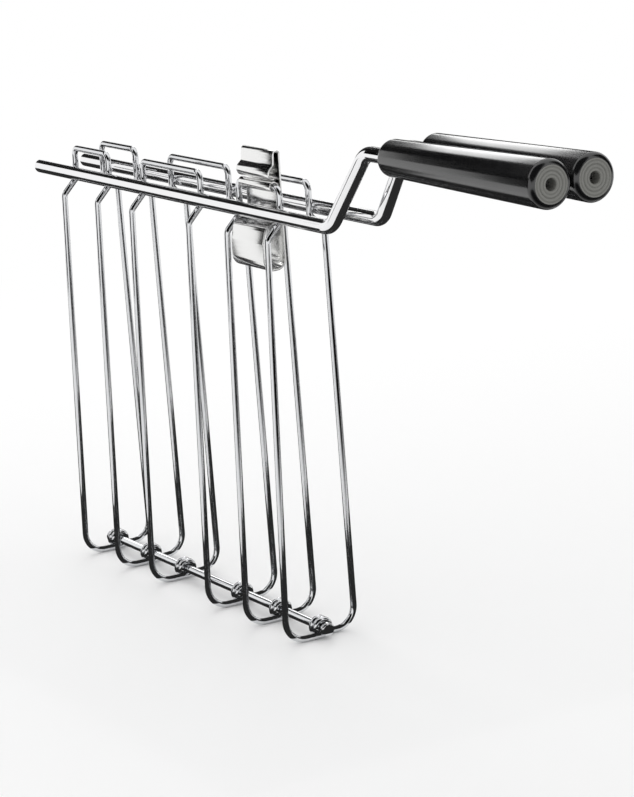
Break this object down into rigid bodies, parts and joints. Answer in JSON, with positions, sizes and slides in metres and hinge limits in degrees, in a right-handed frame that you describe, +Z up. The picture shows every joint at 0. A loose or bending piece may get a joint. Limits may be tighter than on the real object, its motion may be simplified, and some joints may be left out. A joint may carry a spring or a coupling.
{
  "type": "hinged wire sandwich toast rack",
  "caption": "Hinged rack of bright wire with two rails, cranked black grips and a bent sheet clip, which holds a filled sandwich upright in a bread slot.",
  "frame": {"origin": "on the floor under the middle of the rack's box, between the two halves", "axes": "+X along the rails towards the grips, +Y from the near half to the far half, +Z up"},
  "size_m": [0.269, 0.0252, 0.1467],
  "materials": {
    "plated_rod": "bright chrome plate on drawn steel rod",
    "plated_wire": "bright chrome plate on drawn steel wire",
    "spring_sheet": "polished spring steel sheet",
    "grip_plastic": "black moulded plastic, semi gloss"
  },
  "bodies": {
    "near_half": {"near_rail": "plated_rod", "near_hairpin_rear": "plated_wire", "near_hairpin_middle": "plated_wire", "near_hairpin_front": "plated_wire", "near_grip": "grip_plastic", "hinge_rod": "plated_wire"},
    "far_half": {"far_rail": "plated_rod", "far_hairpin_rear": "plated_wire", "far_hairpin_middle": "plated_wire", "far_hairpin_front": "plated_wire", "far_grip": "grip_plastic"},
    "clip": {"spring_clip": "spring_sheet"}
  },
  "joints": [
    {"name": "halves_hinge", "type": "hinge", "parent": "near_half", "child": "far_half", "pos_m": [0, 0, 0.00311], "axis": [-1, 0, 0], "range_deg": [0, 45]},
    {"name": "clip_rock", "type": "hinge", "parent": "near_half", "child": "clip", "pos_m": [-0.004, -0.0051, 0.127], "axis": [1, 0, 0], "range_deg": [0, 15]}
  ]
}
